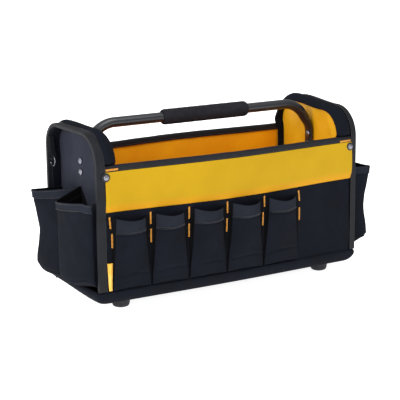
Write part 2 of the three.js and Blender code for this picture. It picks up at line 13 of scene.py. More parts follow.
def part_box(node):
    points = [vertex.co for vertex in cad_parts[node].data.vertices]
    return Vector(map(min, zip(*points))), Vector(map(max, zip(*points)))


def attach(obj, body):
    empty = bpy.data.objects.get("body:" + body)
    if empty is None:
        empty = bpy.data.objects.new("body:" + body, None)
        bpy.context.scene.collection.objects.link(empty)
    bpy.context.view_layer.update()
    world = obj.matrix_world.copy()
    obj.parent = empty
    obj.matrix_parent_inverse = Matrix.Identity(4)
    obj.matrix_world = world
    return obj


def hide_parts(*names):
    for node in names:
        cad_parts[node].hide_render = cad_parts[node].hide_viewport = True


bl_info = {
    "name": "Open top tool tote",
    "version": (1, 0, 0),
    "blender": (4, 5, 0),
    "location": "View3D > Sidebar > Tote",
    "description": "Cloth, bindings, pockets, handle and fittings of a tool tote, with its stage",
    "category": "Object",
}

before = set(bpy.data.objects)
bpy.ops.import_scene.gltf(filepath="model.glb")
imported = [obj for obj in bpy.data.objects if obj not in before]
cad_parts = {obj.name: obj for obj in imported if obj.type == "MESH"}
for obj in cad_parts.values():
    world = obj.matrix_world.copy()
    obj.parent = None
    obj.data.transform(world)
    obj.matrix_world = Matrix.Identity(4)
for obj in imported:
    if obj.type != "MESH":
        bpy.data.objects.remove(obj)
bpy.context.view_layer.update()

MM = 0.001
SIDES = (("left", -1), ("right", 1))


def in_mm(node):
    """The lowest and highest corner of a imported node, in millimetres."""
    return [Vector(corner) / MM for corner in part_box(node)]


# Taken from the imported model
RIMS = {side: in_mm(f"rim_binding_{name}") for name, side in SIDES}
TUBE = in_mm("handle_tube")
MIDDLE = Vector(((RIMS[-1][0].x + RIMS[1][1].x) / 2, (TUBE[0].y + TUBE[1].y) / 2, 0))
HALF = (RIMS[1][1].x - RIMS[-1][0].x) / 2
FRONT = MIDDLE.y - RIMS[-1][0].y
REAR = {side: RIMS[side][1].y - MIDDLE.y for side in (-1, 1)}
FOOT_TOP = in_mm("foot_left_front")[1].z
BASE_TOP = in_mm("base_tray")[1].z
WALL_TOP = in_mm("front_wall")[1].z
CREST = in_mm("front_top_binding")[1].z
HEM = in_mm("front_top_binding")[0].z
TUBE_TOP = TUBE[1].z

# Depth of the walls' cloth and of their lining behind the rim's face
WALL_DEPTH = 2.0
LINING_DEPTH = 6.5
# Where the end boards and their linings stand and where the walls' cloth ends, out from the middle
BOARD_X = HALF - 22.0
LINING_X = HALF - 25.3
CLOTH_END = HALF - 11.3
# How far the long walls bow out at mid length, and the height of the lined floor
FRONT_BOW = 12
REAR_BOW = 16
FLOOR = FOOT_TOP + 7

# The dome over each end: height and radius at the front shoulder, and at the rear one
SHOULDER_TOP = 285
SHOULDER = 50
CROWN = {-1: (286, 38), 1: (291.5, 48)}

# Front pockets: where their seams stand, and the heights of the mouth and of the hem's lower edge
SEAMS = (-227, -157.3, -88.9, -17.6, 54.7, 128.5)
MOUTH = 152
HEM_LINE = 129.0


def placed(node):
    """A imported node's lowest corner, highest corner and centre, about the tote's own middle."""
    low, high = (corner - MIDDLE for corner in in_mm(node))
    return low, high, (low + high) / 2


def mix(a, b, t):
    return a + (b - a) * t


def clamp(value, low=0.0, high=1.0):
    return max(low, min(high, value))


def ease(value, start, end):
    """0 before start, 1 after end and a soft step between."""
    t = clamp((value - start) / (end - start))
    return t * t * (3 - 2 * t)


def bump(distance, width):
    """A soft ridge: 1 on its line and almost 0 a width away."""
    return math.exp(-((distance / width) ** 2) * 3)


def ripple(x, y, z, size):
    """Smooth uneven waves between -1 and 1, size mm apart."""
    return noise.noise(Vector((x, y, z)) / size)


def pick(table, t):
    """The row t of the way down a table, worked out between its neighbours."""
    spot = clamp(t) * (len(table) - 1)
    i = min(int(spot), len(table) - 2)
    return [mix(a, b, spot - i) for a, b in zip(table[i], table[i + 1])]


def rounded(points, t):
    """A point t of the way along the curve that rounds the corners between the points."""
    spans = len(points) - 2
    i = min(int(t * spans), spans - 1)
    f = t * spans - i
    start = points[0] if i == 0 else (points[i] + points[i + 1]) / 2
    end = points[-1] if i == spans - 1 else (points[i + 1] + points[i + 2]) / 2
    return start.lerp(points[i + 1], f).lerp(points[i + 1].lerp(end, f), f)


def from_line(x, z, start, end):
    """Signed distance of (x, z) from a line, and how far along it the nearest point lies."""
    along = Vector(end) - Vector(start)
    away = Vector((x, z)) - Vector(start)
    return along.normalized().cross(away), away.dot(along) / along.length_squared


# The tote's main form


def swell(x, z):
    """The bow of the long walls: none at the corners, most at mid length and at the top."""
    across = math.cos(math.pi * min(abs(x), HALF) / (2 * HALF)) ** 2
    return across * mix(0.35, 1, clamp((z - FOOT_TOP) / (WALL_TOP - FOOT_TOP)))


def front(x, z, depth=0.0):
    """Where a layer of the front wall stands, its depth behind the rim's face."""
    return -FRONT - FRONT_BOW * swell(x, z) + depth


def rear(x, z, depth=0.0):
    """Where a layer of the back wall stands."""
    return mix(REAR[-1], REAR[1], (x + HALF) / (2 * HALF)) + REAR_BOW * swell(x, z) - depth


def dome(side, t, low):
    """A point in y and z and the way out there, t of the way up an end's front, over its dome and down."""
    crown, turn = CROWN[side]
    near, far = -FRONT + SHOULDER, REAR[side] - turn
    near_top, far_top = SHOULDER_TOP - SHOULDER, crown - turn
    knots = (0, 0.24, 0.42, 0.58, 0.76, 1)
    part = next(i for i in range(5) if t <= knots[i + 1] or i == 4)
    k = (t - knots[part]) / (knots[part + 1] - knots[part])
    if part == 0:
        return Vector((-FRONT, mix(low, near_top, k))), Vector((-1, 0))
    if part == 1:
        out = Vector((-math.cos(k * math.pi / 2), math.sin(k * math.pi / 2)))
        return Vector((near, near_top)) + SHOULDER * out, out
    if part == 2:
        return Vector((mix(near, far, k), mix(SHOULDER_TOP, crown, ease(k, 0, 1)))), Vector((0, 1))
    if part == 3:
        out = Vector((math.sin(k * math.pi / 2), math.cos(k * math.pi / 2)))
        return Vector((far, far_top)) + turn * out, out
    return Vector((REAR[side], mix(far_top, low, k))), Vector((1, 0))


def dome_height(side, y, inset):
    """The height of an end's outline over y, moved in by an inset."""
    crown, turn = CROWN[side]
    near, far = -FRONT + SHOULDER, REAR[side] - turn
    if y < near:
        reach = SHOULDER - inset
        return SHOULDER_TOP - SHOULDER + math.sqrt(max(0, reach**2 - (near - y) ** 2))
    if y > far:
        reach = turn - inset
        return crown - turn + math.sqrt(max(0, reach**2 - (y - far) ** 2))
    return mix(SHOULDER_TOP, crown, ease(y, near, far)) - inset


# Making and finishing meshes


def lengths(points):
    """How far along a line each of its points lies."""
    total = [0.0]
    for a, b in zip(points, points[1:]):
        total.append(total[-1] + (b - a).length)
    return total


def surface(columns, rows, place, toward=None, zone=None):
    """A grid laid out by place(u, v), with a UV map in metres. Without toward it is a closed skin.

    zone(u, v) gives the material's number of the face there.
    """
    bm = bmesh.new()
    bmesh.ops.create_grid(bm, x_segments=columns, y_segments=rows, size=0.5)
    spots = {vert: (vert.co.x + 0.5, vert.co.y + 0.5) for vert in bm.verts}
    across = lengths([place(i / columns, 0.5) for i in range(columns + 1)])
    up = lengths([place(0.5, j / rows) for j in range(rows + 1)])
    layer = bm.loops.layers.uv.new("cloth")
    for face in bm.faces:
        for loop in face.loops:
            u, v = spots[loop.vert]
            loop[layer].uv = (across[round(u * columns)] * MM, up[round(v * rows)] * MM)
        if zone:
            middle = [sum(spots[vert][i] for vert in face.verts) / 4 for i in (0, 1)]
            face.material_index = zone(*middle)
    for vert, (u, v) in spots.items():
        vert.co = place(u, v)
    if toward is None:
        bmesh.ops.remove_doubles(bm, verts=bm.verts, dist=0.01)
        # A cap stays triangles, because subdividing one large face is very slow
        caps = bmesh.ops.holes_fill(bm, edges=bm.edges, sides=0)["faces"]
        bmesh.ops.triangulate(bm, faces=caps)
        bmesh.ops.recalc_face_normals(bm, faces=bm.faces)
        return bm
    bm.normal_update()
    facing = sum((face.normal * face.calc_area() for face in bm.faces), Vector())
    if facing.dot(Vector(toward)) < 0:
        bmesh.ops.reverse_faces(bm, faces=bm.faces)
    return bm


def spun(profile, axis, centre, steps=32):
    """A turned part: a profile of (radius, along) spun round an axis through centre."""
    bm = bmesh.new()
    ring = [bm.verts.new((radius, 0, along)) for radius, along in profile]
    edges = [bm.edges.new(pair) for pair in zip(ring, ring[1:])]
    bmesh.ops.spin(
        bm, geom=ring + edges, cent=(0, 0, 0), axis=(0, 0, 1), angle=2 * math.pi, steps=steps, use_merge=True
    )
    bmesh.ops.remove_doubles(bm, verts=bm.verts, dist=0.01)
    bmesh.ops.recalc_face_normals(bm, faces=bm.faces)
    turn = Vector(axis).to_track_quat("Z", "Y").to_matrix().to_4x4()
    bmesh.ops.transform(bm, matrix=Matrix.Translation(centre) @ turn, verts=bm.verts)
    return bm


def stitch(bm, centre, along, length, radius):
    """Adds one stitch: a short rod that lies along a direction."""
    turn = along.to_track_quat("Z", "Y").to_matrix().to_4x4()
    place = Matrix.Translation(centre) @ turn
    bmesh.ops.create_cone(
        bm, cap_ends=True, segments=5, radius1=radius, radius2=radius, depth=length, matrix=place
    )


def sew(bm, points, radius=0.35):
    """Adds a row of stitches along a line of points."""
    far = lengths(points)
    count = int(far[-1] / (sizes().stitch / MM))
    i = 0
    for k in range(count):
        spot = (k + 0.5) * far[-1] / count
        while far[i + 1] < spot:
            i += 1
        along = points[i + 1] - points[i]
        stitch(bm, points[i] + along * ((spot - far[i]) / along.length), along, 2.3, radius)


def finish_piece(bm, name, kinds, replaced=(), cloth=0.0, levels=1, inside=0):
    """Makes a mesh a piece of the tote: cloth is its thickness in mm, levels its subdivisions.

    kinds names its materials; inside is the step from the outer faces' material to the inner ones'.
    """
    bmesh.ops.scale(bm, vec=(MM, MM, MM), verts=bm.verts)
    bmesh.ops.translate(bm, vec=MIDDLE * MM, verts=bm.verts)
    mesh = bpy.data.meshes.new(name)
    bm.to_mesh(mesh)
    bm.free()
    mesh.shade_smooth()
    for kind in kinds.split():
        mesh.materials.append(finish_of(kind))
    piece = bpy.data.objects.new(name, mesh)
    bpy.context.scene.collection.objects.link(piece)
    if cloth:
        skin = piece.modifiers.new("cloth", "SOLIDIFY")
        skin.thickness = cloth * MM
        skin.offset = -1
        skin.material_offset = inside
    if levels:
        soft = piece.modifiers.new("soft", "SUBSURF")
        soft.levels = levels
        soft.render_levels = levels
    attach(piece, "root")
    if replaced:
        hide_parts(*replaced)
    return piece


# Materials


def linear(code):
    """The linear red, green, blue and alpha of an sRGB hex colour."""
    shares = [int(code[i : i + 2], 16) / 255 for i in (0, 2, 4)]
    return [s / 12.92 if s <= 0.04045 else ((s + 0.055) / 1.055) ** 2.4 for s in shares] + [1.0]


def add_node(tree, kind, inputs=None, **settings):
    """A node with its settings; each input is a value or a socket to link."""
    new = tree.nodes.new(f"ShaderNode{kind}")
    for key, value in settings.items():
        setattr(new, key, value)
    for key, value in (inputs or {}).items():
        if isinstance(value, bpy.types.NodeSocket):
            tree.links.new(value, new.inputs[key])
        else:
            new.inputs[key].default_value = value
    return new


def new_material(name, **shader_inputs):
    """An empty material with a shader, and what is set on the shader's own sockets."""
    material = bpy.data.materials.new(name)
    material.use_nodes = True
    tree = material.node_tree
    tree.nodes.clear()
    names = [key.replace("_", " ").title().replace("Ior", "IOR") for key in shader_inputs]
    shader = add_node(tree, "BsdfPrincipled", dict(zip(names, shader_inputs.values())))
    add_node(tree, "OutputMaterial", {"Surface": shader.outputs[0]})
    return material, tree, shader


def patchy(tree, dark, light, size):
    """A colour between two, in soft patches of a size in mm."""
    place = add_node(tree, "TexCoord").outputs["Object"]
    cloud = add_node(tree, "TexNoise", {"Vector": place, "Scale": 1 / (size * MM), "Detail": 3.0})
    spread = add_node(tree, "MapRange", {"Value": cloud.outputs["Fac"], "From Min": 0.35, "From Max": 0.65})
    colours = {6: linear(dark), 7: linear(light)}
    return add_node(tree, "Mix", {"Factor": spread.outputs["Result"], **colours}, data_type="RGBA").outputs[2]


def weave(tree, spacing, distortion=0.5):
    """The height of a plain weave on the UV map, its threads a spacing in mm apart."""
    # A wave texture has 20 radians to a unit, so one thread is this much of its scale
    scale = 2 * math.pi / 20 / (spacing * MM)
    place = add_node(tree, "UVMap", uv_map="cloth").outputs["UV"]
    inputs = {"Vector": place, "Scale": scale, "Distortion": distortion, "Detail": 1.0}
    warp, weft = (add_node(tree, "TexWave", inputs, bands_direction=way).outputs["Fac"] for way in ("X", "Y"))
    return add_node(tree, "Math", {0: warp, 1: weft}, operation="MULTIPLY").outputs[0]


def raise_by(tree, shader, height, distance):
    """Lets a height texture shape the surface, distance mm deep."""
    relief = add_node(tree, "Bump", {"Height": height, "Distance": distance * MM})
    tree.links.new(relief.outputs["Normal"], shader.inputs["Normal"])


def woven_cloth(name, dark, light, spacing, depth, patch, **shader_inputs):
    """A woven cloth: patches of tone, darker gaps between its threads and their relief, in mm."""
    material, tree, shader = new_material(name, **shader_inputs)
    height = weave(tree, spacing)
    gaps = add_node(tree, "MapRange", {"Value": height, "From Max": 0.6, "To Min": 0.8})
    layers = {"Factor": 1.0, 6: patchy(tree, dark, light, patch), 7: gaps.outputs["Result"]}
    shaded = add_node(tree, "Mix", layers, data_type="RGBA", blend_type="MULTIPLY")
    tree.links.new(shaded.outputs[2], shader.inputs["Base Color"])
    raise_by(tree, shader, height, depth)
    return material


def grained(name, dark, light, patch, texture, grain, detail, depth, **shader_inputs):
    """A smooth material: patches of tone, and a fine grain from a texture that is depth mm deep."""
    material, tree, shader = new_material(name, **shader_inputs)
    tree.links.new(patchy(tree, dark, light, patch), shader.inputs["Base Color"])
    place = add_node(tree, "TexCoord").outputs["Object"]
    fine = add_node(tree, texture, {"Vector": place, "Scale": 1 / (grain * MM), "Detail": detail})
    raise_by(tree, shader, fine.outputs[0], depth)
    return material


def black_canvas(name, dark, light):
    """Polyester canvas of thick yarn, woven and backed with PVC: a dull black."""
    # The yarns are 0.6 mm apart, drawn 1.7 mm apart so that they show
    return woven_cloth(name, dark, light, 1.7, 0.25, 45, roughness=0.85, specular_ior_level=0.08)


def black_binding():
    """Polypropylene binding tape, woven flat and folded over the edges: smoother than the canvas."""
    # Its ribs are 0.5 mm apart, drawn 1.2 mm apart
    look = {"roughness": 0.6, "specular_ior_level": 0.22}
    return woven_cloth("black_polypropylene_binding", "101116", "15171d", 1.2, 0.15, 30, **look)


def yellow_canvas():
    """Yellow polyester canvas with a PVC face: even and slightly glossy, with painted shade that turns it
    darker and more orange towards its rolled lower edge.
    """
    material, tree, shader = new_material("yellow_polyester_canvas", roughness=0.55, specular_ior_level=0.12)
    up = add_node(tree, "SeparateXYZ", {0: add_node(tree, "UVMap", uv_map="cloth").outputs["UV"]})
    # Painted shade of the roll: it shows over the lowest 18 mm and is fullest under 3 mm
    limits = {"From Min": 0.003, "From Max": 0.018, "To Min": 0.55, "To Max": 0.0}
    roll = add_node(tree, "MapRange", {"Value": up.outputs["Y"], **limits}, interpolation_type="SMOOTHSTEP")
    layers = {"Factor": roll.outputs["Result"], 6: patchy(tree, "ad880a", "b38e0d", 60), 7: linear("d08a10")}
    roll_shaded = add_node(tree, "Mix", layers, data_type="RGBA")
    tree.links.new(roll_shaded.outputs[2], shader.inputs["Base Color"])
    # The yarns are 0.6 mm apart under the PVC, drawn 1.5 mm apart
    raise_by(tree, shader, weave(tree, 1.5, 0.3), 0.08)
    return material


def nylon_lining(name, dark, light):
    """Nylon lining cloth, thin and close woven: saturated, with a soft shine on its folds."""
    # Its yarns are 0.2 mm apart, drawn 1.3 mm apart so that they show
    return woven_cloth(name, dark, light, 1.3, 0.08, 70, roughness=0.5, specular_ior_level=0.25)


def painted_shade_cloth():
    """Painted shade: a near black, matt cloth put where shade falls, in the pleats beside the pockets, on the
    pockets' inner faces and on the boards behind them.
    """
    # Its yarns are 0.4 mm apart, drawn 1.4 mm apart
    look = {"roughness": 0.9, "specular_ior_level": 0.08}
    return woven_cloth("black_painted_shade_cloth", "08080a", "0c0c0f", 1.4, 0.15, 20, **look)


def tab_webbing():
    """A folded yellow fabric tab, coated and welded: brighter and smoother than the band."""
    # Its yarns are 0.5 mm apart, drawn 0.9 mm apart
    look = {"roughness": 0.45, "specular_ior_level": 0.5}
    return woven_cloth("yellow_coated_tab", "e8a92c", "f5c455", 0.9, 0.08, 12, **look)


def thread(name, dark, light):
    """Spun polyester sewing thread: round, dull and a little uneven in tone."""
    material, tree, shader = new_material(name, roughness=0.7, sheen_weight=0.2)
    # The tone changes from stitch to stitch, every 4 mm
    tree.links.new(patchy(tree, dark, light, 4), shader.inputs["Base Color"])
    return material


def powder_coated_tube():
    """Steel tube with a black powder coating, baked on: a satin gloss with fine orange peel."""
    # Orange peel in a powder coating is 1 to 2 mm across
    look = {"roughness": 0.33, "coat_weight": 0.25, "coat_roughness": 0.2}
    return grained("black_powder_coated_steel", "12151b", "181b22", 35, "TexNoise", 1.6, 1.0, 0.04, **look)


def grip_foam():
    """Closed-cell nitrile foam sleeve with its moulded skin: matt, finely pebbled, very dark."""
    # The cells are 0.3 mm, drawn as pebbles 1.1 mm across
    look = {"roughness": 0.88, "specular_ior_level": 0.2}
    return grained("black_nitrile_foam", "17171c", "1d1d23", 9, "TexVoronoi", 1.1, 0.0, 0.04, **look)


def moulded_rubber(name, dark, light, roughness):
    """Moulded black rubber or plastic: plain, with a faint grain from its mould."""
    # The mould's grain is 0.8 mm across
    look = {"roughness": roughness, "specular_ior_level": 0.4}
    return grained(name, dark, light, 8, "TexNoise", 0.8, 2.0, 0.05, **look)


def plated_steel(name, dark, light, roughness):
    """Pressed steel with bright nickel plating: a clear shine, dulled in small worn patches."""
    # The worn patches are 3 mm across and the scratches 0.7 mm
    look = {"metallic": 1.0, "roughness": roughness}
    return grained(name, dark, light, 3, "TexNoise", 0.7, 3.0, 0.03, **look)


MAKERS = {
    "canvas": lambda: black_canvas("black_polyester_canvas", "0f1219", "131620"),
    # Painted light: a lighter copy of the black canvas for the end boards, which stands for the key light
    # falling on the ends
    "board": lambda: black_canvas("black_board_canvas_painted_lit", "2a2c36", "31333e"),
    "hem": lambda: black_canvas("black_hem_canvas", "1c1f27", "22262f"),
    "binding": black_binding,
    "yellow": yellow_canvas,
    "lining": lambda: nylon_lining("orange_nylon_lining", "f4a106", "ffb20c"),
    "end_lining": lambda: nylon_lining("yellow_nylon_lining", "f0ac10", "fabf1a"),
    # Painted shade: the near black cloth that stands for shade in pleats, pockets and behind them
    "pleat": painted_shade_cloth,
    "tab": tab_webbing,
    "orange_thread": lambda: thread("orange_polyester_thread", "bd7a10", "cc8c1a"),
    "black_thread": lambda: thread("black_polyester_thread", "101014", "17171c"),
    "tube": powder_coated_tube,
    "foam": grip_foam,
    "rubber": lambda: moulded_rubber("black_moulded_rubber", "16161a", "1f1f24", 0.7),
    "washer": lambda: moulded_rubber("black_moulded_plastic", "121215", "1a1a1e", 0.45),
    "rivet": lambda: plated_steel("nickel_plated_rivet_steel", "75757e", "92929c", 0.38),
    "ring": lambda: plated_steel("nickel_plated_ring_steel", "5c5e63", "77797e", 0.25),
}
made = {}


def finish_of(kind):
    """One of the tote's materials, made the first time it is asked for."""
    if kind not in made:
        made[kind] = MAKERS[kind]()
    return made[kind]


# Sizes and colours a user would change


def length(name, default, description):
    """A size in metres that a user can change."""
    return bpy.props.FloatProperty(name=name, description=description, default=default, unit="LENGTH")


class ToteSizes(bpy.types.PropertyGroup):
    """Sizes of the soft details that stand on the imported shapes"""

    hoop_stand: length("Hoop padding", 0.0044, "How far a hoop's padded ridge stands out of the rim's face")
    pocket_depth: length("Pocket gusset", 0.0068, "How far a front pocket's edges stand out at its mouth")
    pocket_swell: length("Pocket swell", 0.008, "How much further the middle of a front pocket stands out")
    stitch: length("Stitch pitch", 0.0032, "Distance from one stitch to the next in a seam")


class ToteStage(bpy.types.PropertyGroup):
    """Light and background"""

    key_power: bpy.props.FloatProperty(
        name="Key light", description="Power of the large light at the left", default=27.0, unit="POWER"
    )
    sky: bpy.props.FloatProperty(
        name="Surround", description="Brightness of the surround on its light side", default=0.95
    )
    glow: bpy.props.FloatProperty(
        name="Floor glow", description="Light from the floor itself, as on a lit table", default=0.92
    )
    paper: bpy.props.FloatVectorProperty(
        name="Floor", description="Colour of the floor", default=(0.93, 0.93, 0.93), size=3, subtype="COLOR"
    )


def sizes():
    return bpy.context.scene.tote_sizes


# Base, floor and feet

# Up the base's skin: distance in from the wall's face, and height over the underside
BASE_ROWS = (
    (60, 0), (24, 0), (14.5, 0.1), (8.5, 1.2), (4.6, 3.6), (2, 7.4), (0.2, 12), (-0.9, 16), (-0.9, 19.5),
    (0.1, 21.4), (1.6, 22.2), (3.0, 21.6), (3.8, 18), (5, 8), (8, 4.6), (24, 4.2), (60, 4.2),
)


def base_point(u, v):
    inset, up = pick(BASE_ROWS, v)
    low = clamp(inset / 12)
    z = FOOT_TOP + up
    # The front corners turn by 10 mm, and the rear ones by more towards the underside
    spot = plan_point(u, z, inset, (10, mix(10, 30, low)))
    # The ends swell a little under the rims, and slant in towards the back, most at the underside
    swollen = 3.5 * ease(abs(spot.x), HALF - 30, HALF - 12) * (1 - low) * math.sin(math.pi * clamp(up / 24))
    spot.x += math.copysign(swollen, spot.x)
    drawn = 14 * ease(spot.y, -60, 80) * (1 - clamp(up / 20)) * ease(abs(spot.x), 150, 250)
    spot.x -= math.copysign(drawn, spot.x)
    return spot


def plan_point(u, z, inset, turns):
    """A point round the base's outline: front, corner, right end, corner, back, corner, left end, corner."""
    knots = (0.36, 0.42, 0.48, 0.54, 0.9, 0.95, 0.97, 1.0)
    part = next(i for i in range(8) if u <= knots[i] or i == 7)
    start = knots[part - 1] if part else 0
    k = (u - start) / (knots[part] - start)
    ends = [HALF - inset - turn for turn in turns]
    if part in (0, 4):
        row = part // 4
        x = mix(-ends[row], ends[row], k) * (1 if part == 0 else -1)
        return Vector((x, (front, rear)[row](x, z, inset), z))
    side = 1 if part < 4 else -1
    if part in (2, 6):
        y0 = front(side * HALF, z, inset + turns[0])
        y1 = rear(side * HALF, z, inset + turns[1])
        return Vector((side * (HALF - inset), mix(y0, y1, k if part == 2 else 1 - k), z))
    row = 0 if part in (1, 7) else 1
    turn = turns[row]
    x = side * ends[row]
    y = (front, rear)[row](x, z, inset + turn)
    start_angle = {1: -90, 3: 0, 5: 90, 7: 180}[part]
    angle = math.radians(start_angle + 90 * k)
    return Vector((x + turn * math.cos(angle), y + turn * math.sin(angle), z))


class TOTE_OT_base(bpy.types.Operator):
    """Makes the base tray's cloth, the lined floor and the rubber feet"""

    bl_idname = "tote.base"
    bl_label = "Base and feet"

    def execute(self, context):
        base = surface(150, 32, base_point)
        finish_piece(base, "base_tray_cloth", "canvas", ["base_tray"])

        def floor(u, v):
            x = mix(-LINING_X, LINING_X, u)
            y = mix(front(x, FLOOR, 11.6), rear(x, FLOOR, 11.6), v)
            return Vector((x, y, FLOOR + 0.8 * ripple(x, y, 0, 60)))

        sheet = surface(60, 26, floor, (0, 0, 1))
        finish_piece(sheet, "floor_lining_cloth", "lining", ["floor_lining"], cloth=2.2)
        profile = (
            (0, 0), (8.6, 0), (9.6, 0.3), (12.2, 1.4), (13.6, 3.4), (14.4, 6), (14.7, 9.4), (15, 10.6),
            (15.6, 11.2), (15.6, 13.6), (15, FOOT_TOP), (0, FOOT_TOP),
        )
        for name, _ in SIDES:
            for end in ("front", "rear"):
                node = f"foot_{name}_{end}"
                centre = placed(node)[2]
                foot = spun(profile, (0, 0, 1), (centre.x, centre.y, 0), 40)
                finish_piece(foot, f"{node}_rubber", "rubber", [node], levels=0)
        return {"FINISHED"}


# Walls, their linings, the bindings on their top edges, and the band


def wall_relief(x, z):
    """Folds of the front wall: the plain part at the right has a slanting crease."""
    away, along = from_line(x, z, (176, 138), (237, 42))
    ends = ease(along, -0.15, 0.15) * (1 - ease(along, 0.9, 1.1))
    fold = ends * (2.8 * ease(away, -10, 3) * (1 - ease(away, 3, 46)) - 2.4 * bump(away - 3, 6))
    return fold + 0.6 * ripple(x, 0, z, 70) + 0.25 * ripple(x, 9, z, 22)


class TOTE_OT_walls(bpy.types.Operator):
    """Makes the cloth and the lining of the long walls"""

    bl_idname = "tote.walls"
    bl_label = "Walls and linings"

    def execute(self, context):
        def wall(face, depth, relief, end, low):
            def place(u, v):
                x = mix(-end, end, u)
                z = mix(low, WALL_TOP, v)
                return Vector((x, face(x, z, depth - relief(x, z)), z))

            return place

        def plain(x, z):
            return 0.7 * ripple(x, 40, z, 80) + 0.25 * ripple(x, 50, z, 25)

        def slack(x, z):
            return -0.9 * ripple(x * 0.5, 20, z, 55) - 0.35 * ripple(x, 30, z * 0.6, 20)

        for name, face, way, relief, grid in (
            ("front", front, -1, wall_relief, (120, 52)),
            ("back", rear, 1, plain, (100, 44)),
        ):
            outer = surface(*grid, wall(face, WALL_DEPTH, relief, CLOTH_END, BASE_TOP - 3), (0, way, 0))
            finish_piece(outer, f"{name}_wall_cloth", "canvas", [f"{name}_wall"], cloth=2.6)
        for name, face, way in (("front", front, 1), ("back", rear, -1)):
            inner = surface(100, 40, wall(face, LINING_DEPTH, slack, BOARD_X - 3, FLOOR + 0.4), (0, way, 0))
            finish_piece(
                inner, f"{name}_lining_cloth", "lining", [f"{name}_lining"], cloth=0.9
            )
        return {"FINISHED"}


# Over the edge of a wall: depth behind the rim's face, and height over the binding's hem
FOLD_ROWS = (
    (0.4, 0), (0.1, 0.6), (0.0, 4), (0.1, 8), (0.9, 10.2), (2.6, 11), (4.2, 11.1), (5.9, 11), (7.6, 10.2),
    (8.4, 8), (8.5, 4), (8.4, 0.6), (8.1, 0),
)


class TOTE_OT_bindings(bpy.types.Operator):
    """Makes the tapes folded over the long walls, and their stitching"""

    bl_idname = "tote.bindings"
    bl_label = "Top bindings"

    def execute(self, context):
        seams = bmesh.new()
        for name, face, way in (("front", front, -1), ("back", rear, 1)):

            def fold(u, v):
                x = mix(-CLOTH_END - 0.4, CLOTH_END + 0.4, u)
                depth, up = pick(FOLD_ROWS, v)
                uneven = 0.25 * ripple(x, way * 30, up, 26)
                z = HEM + up * (CREST - HEM) / 11.1
                return Vector((x, face(x, min(z, WALL_TOP), depth) + uneven, z + uneven))

            tape = surface(120, 24, fold, (0, way, 0.2))
            finish_piece(
                tape, f"{name}_binding_tape", "binding", [f"{name}_top_binding"], cloth=1.1
            )
            for v in (0.13, 0.87):
                sew(seams, [fold(k / 120, v) for k in range(121)])
        finish_piece(seams, "binding_stitches", "black_thread", levels=0)
        return {"FINISHED"}


class TOTE_OT_band(bpy.types.Operator):
    """Makes the yellow band, which stands off the wall and rolls in at its free lower edge"""

    bl_idname = "tote.band"
    bl_label = "Yellow band"

    def execute(self, context):
        left, right = -HALF + 14.7, HALF - 9
        edge, top = 160.6, HEM + 1.2

        def place(u, v):
            x = mix(left, right, u)
            # The lower edge rises a little towards the ends, and its right corner is rounded
            low = edge + 2.5 * (1 - swell(x, WALL_TOP))
            low += 2 * (1 - math.sqrt(1 - ease(x, right - 2, right) ** 2 * 0.98))
            z = mix(low, top, v)
            rise = (z - low) / (top - low)
            out = 1.2 + 1.8 * math.sin(math.pi * clamp(rise) ** 0.7) + 0.5 * ripple(x, 60, z, 90)
            roll = 1.6 * (1 - ease(z - low, 0, 24)) ** 2
            end = 0.7 * ease(abs(x - 3), 232, 238.5)
            return Vector((x, front(x, z, 0.4 - out + roll + end), z))

        band = surface(130, 34, place, (0, -1, 0))
        finish_piece(band, "front_band_cloth", "yellow", ["front_band"], cloth=1.1)
        return {"FINISHED"}


# Ends: rims, padded hoops, boards and linings

# How wide each rim's tape is on the end's face
RIM_WIDTHS = {-1: 14.4, 1: 10.8}
# Round a rim's tape: distance from the end's face as a share of its width, and height over the rim's face
RIM_ROWS = (
    (1.0, -0.5), (0.99, 0.2), (0.93, 0.4), (0.5, 0.45), (0.12, 0.4), (0.03, 0.15), (0.0, -0.5), (0.0, -2.8),
    (0.0, -5.0), (0.03, -5.6), (0.12, -5.9), (0.5, -6.2), (0.74, -6.6),
)
# Round a hoop from its groove by the rim, over its ridge, down to its inner edge and back underneath:
# distance in from the rim as a share of its width, and height over the rim's face where it is free,
# and where the walls cover it
HOOP_ROWS = (
    (-0.22, -7.9, -8.6), (-0.2, -3.0, -8.5), (0.03, -1.4, -8.4), (0.08, -0.3, -8.4), (0.16, 2.2, -8.4),
    (0.28, 4.0, -8.3), (0.42, 4.4, -8.3), (0.58, 3.7, -8.3), (0.74, 1.6, -8.4), (0.88, -1.4, -8.4),
    (0.97, -4.2, -8.6), (1.0, -5.6, -9.4), (0.985, -7.0, -10.4), (0.93, -7.7, -10.9), (0.7, -7.9, -11.0),
    (0.35, -7.9, -11.0), (-0.22, -7.95, -11.0),
)
# Folds of an end's lining: their upper and lower ends in y and z, their height and their width
LINING_FOLDS = (
    ((-64, 290), (-84, 232), 2.6, 9),
    ((-28, 300), (-62, 236), 1.8, 10),
    ((8, 296), (-22, 240), 1.4, 12),
)


def hoop_point(side, u, v, low):
    across, free, covered = pick(HOOP_ROWS, v)
    point, out = dome(side, u, low)
    stand = sizes().hoop_stand / MM / 4.4
    lifted = ease(point.y, CREST - 1.5, CREST + 4.5)
    height = mix(covered, free * (stand if free > 0 else 1), lifted)
    # At the rear the hoop's inner edge flares in towards the top of the wall
    flare = 9 * ease(point.x, 78, 108) * ease(point.y, CREST - 8, CREST) * (1 - ease(point.y, CREST + 2, 282))
    x = side * mix(CLOTH_END + 0.2, HALF - 37 - flare, across)
    uneven = 0.5 * lifted * ripple(x, point.x, point.y, 34)
    spot = point + out * (height + uneven)
    return Vector((x, spot.x, spot.y))


def panel_point(side, x, u, v, low, relief, covered):
    """A point of the flat panel inside a hoop; covered is how far in it starts below the walls' top."""
    share = (u + 0.5 - 0.5 * math.cos(math.pi * u)) / 2
    free = 8.2
    y = mix(-FRONT + free, REAR[side] - free, share)
    z = mix(low, dome_height(side, y, free), v)
    inset = mix(covered, free, ease(z, CREST - 2, CREST + 4))
    y = mix(-FRONT + inset, REAR[side] - inset, share)
    return Vector((side * (x + relief(y, z)), y, z))


